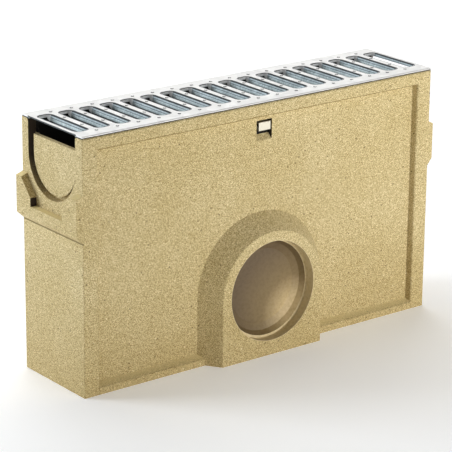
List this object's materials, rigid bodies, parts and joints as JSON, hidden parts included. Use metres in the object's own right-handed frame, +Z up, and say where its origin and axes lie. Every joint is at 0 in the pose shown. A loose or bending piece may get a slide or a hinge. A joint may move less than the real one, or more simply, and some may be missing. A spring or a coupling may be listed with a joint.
{
  "type": "channel drain sump unit",
  "caption": "Narrow cast sump box for a surface drainage channel, with a slotted steel grating, a side pipe outlet, knock-out end inlets and a lift-out silt bucket.",
  "frame": {"origin": "middle of the base between the two end faces and the two long faces", "axes": "+X along the channel, -Y out of the front with the pipe outlet, +Z up to the grating"},
  "size_m": [0.5145, 0.1355, 0.3],
  "materials": {
    "polymer_concrete": "cast, fine sandy grain",
    "galvanised_steel": "hot-dip galvanised sheet",
    "spring_steel": "zinc-plated strip",
    "bucket_plastic": "moulded polypropylene",
    "handle_wire": "drawn zinc-plated wire"
  },
  "bodies": {
    "unit": {"sump_body": "polymer_concrete", "grating": "galvanised_steel", "lock_clip": "spring_steel", "silt_bucket": "bucket_plastic"},
    "handle": {"bucket_handle": "handle_wire"}
  },
  "joints": [
    {"name": "handle_pivot", "type": "hinge", "parent": "unit", "child": "handle", "pos_m": [0, 0, 0.221], "axis": [0, -1, 0], "range_deg": [0, 180]}
  ]
}
